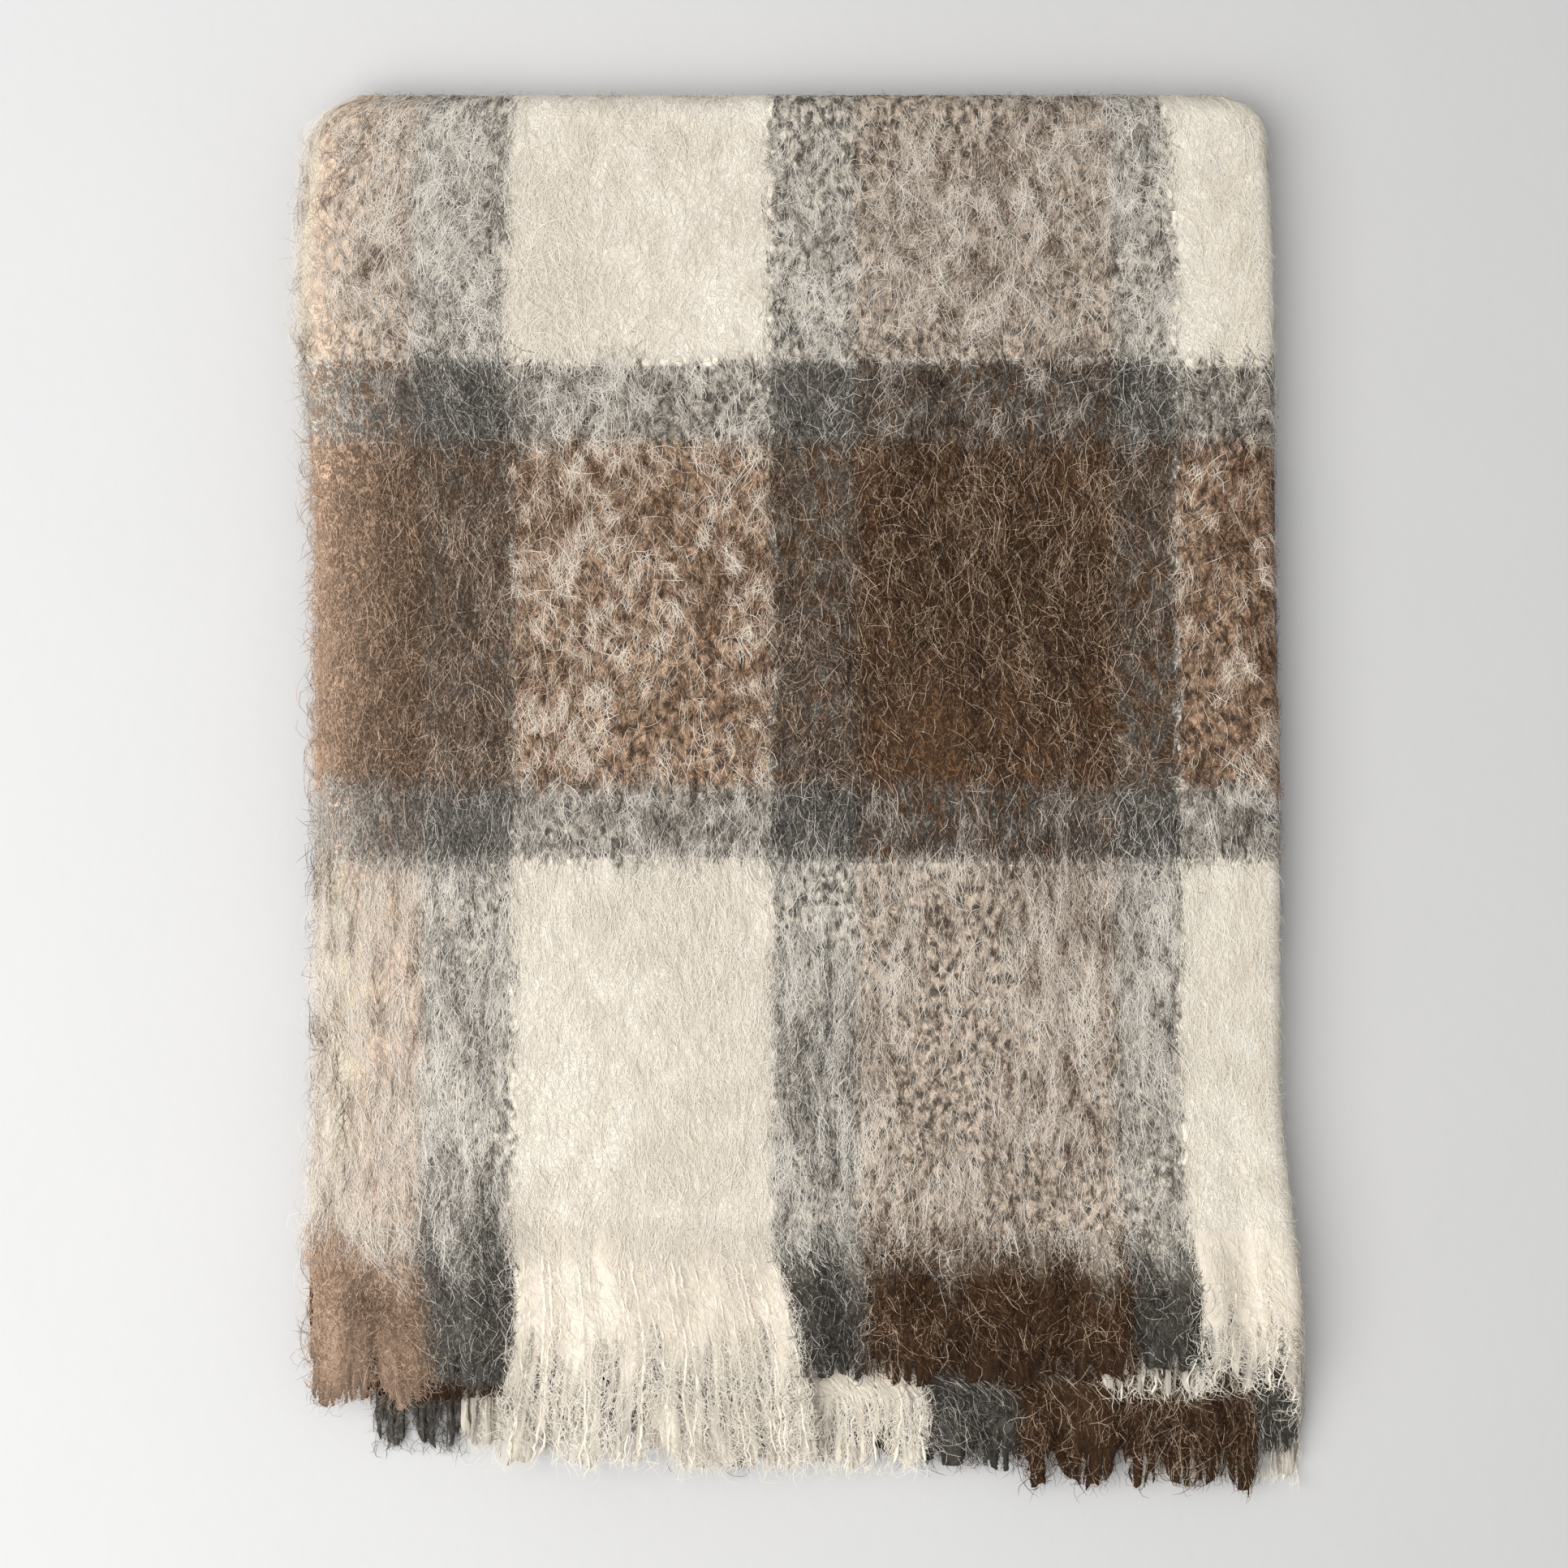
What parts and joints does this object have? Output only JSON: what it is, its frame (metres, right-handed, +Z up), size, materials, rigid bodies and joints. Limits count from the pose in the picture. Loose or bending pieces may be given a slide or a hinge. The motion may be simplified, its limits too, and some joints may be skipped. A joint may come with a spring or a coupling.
{
  "type": "folded throw blanket",
  "caption": "Brushed wool plaid throw blanket in cream, grey and brown, folded in half twice and lying flat, with a long warp fringe along one short side.",
  "frame": {"origin": "centre of the underside of the bounding box of the folded throw", "axes": "+X towards the side folds, +Y from the fringe towards the top fold, +Z up"},
  "size_m": [0.6502, 0.9372, 0.0429],
  "materials": {
    "woven_plaid": "brushed wool, woven in cream, charcoal grey and brown checks",
    "cream_yarn": "brushed loose wool yarn",
    "grey_yarn": "brushed loose wool yarn",
    "brown_yarn": "brushed loose wool yarn"
  },
  "bodies": {
    "lower_half": {"lower_outer_leaf": "woven_plaid", "lower_inner_leaf": "woven_plaid", "lower_side_fold": "woven_plaid", "inner_top_fold": "woven_plaid", "outer_top_fold": "woven_plaid", "lower_outer_fringe_1_brown": "brown_yarn", "lower_outer_fringe_2_grey": "grey_yarn", "lower_outer_fringe_3_cream": "cream_yarn", "lower_outer_fringe_4_grey": "grey_yarn", "lower_outer_fringe_5_brown": "brown_yarn", "lower_outer_fringe_6_grey": "grey_yarn", "lower_outer_fringe_7_cream": "cream_yarn", "lower_inner_fringe_1_brown": "brown_yarn", "lower_inner_fringe_2_grey": "grey_yarn", "lower_inner_fringe_3_cream": "cream_yarn", "lower_inner_fringe_4_grey": "grey_yarn", "lower_inner_fringe_5_brown": "brown_yarn", "lower_inner_fringe_6_grey": "grey_yarn", "lower_inner_fringe_7_cream": "cream_yarn"},
    "upper_half": {"upper_inner_leaf": "woven_plaid", "upper_outer_leaf": "woven_plaid", "upper_side_fold": "woven_plaid", "upper_inner_fringe_1_brown": "brown_yarn", "upper_inner_fringe_2_grey": "grey_yarn", "upper_inner_fringe_3_cream": "cream_yarn", "upper_inner_fringe_4_grey": "grey_yarn", "upper_inner_fringe_5_brown": "brown_yarn", "upper_inner_fringe_6_grey": "grey_yarn", "upper_inner_fringe_7_cream": "cream_yarn", "upper_outer_fringe_1_brown": "brown_yarn", "upper_outer_fringe_2_grey": "grey_yarn", "upper_outer_fringe_3_cream": "cream_yarn", "upper_outer_fringe_4_grey": "grey_yarn", "upper_outer_fringe_5_brown": "brown_yarn", "upper_outer_fringe_6_grey": "grey_yarn", "upper_outer_fringe_7_cream": "cream_yarn"}
  },
  "joints": [
    {"name": "top_fold", "type": "hinge", "parent": "lower_half", "child": "upper_half", "pos_m": [0, 0.44718, 0.02145], "axis": [-1, 0, 0], "range_deg": [0, 180], "deforming": ["inner_top_fold", "outer_top_fold"]}
  ]
}
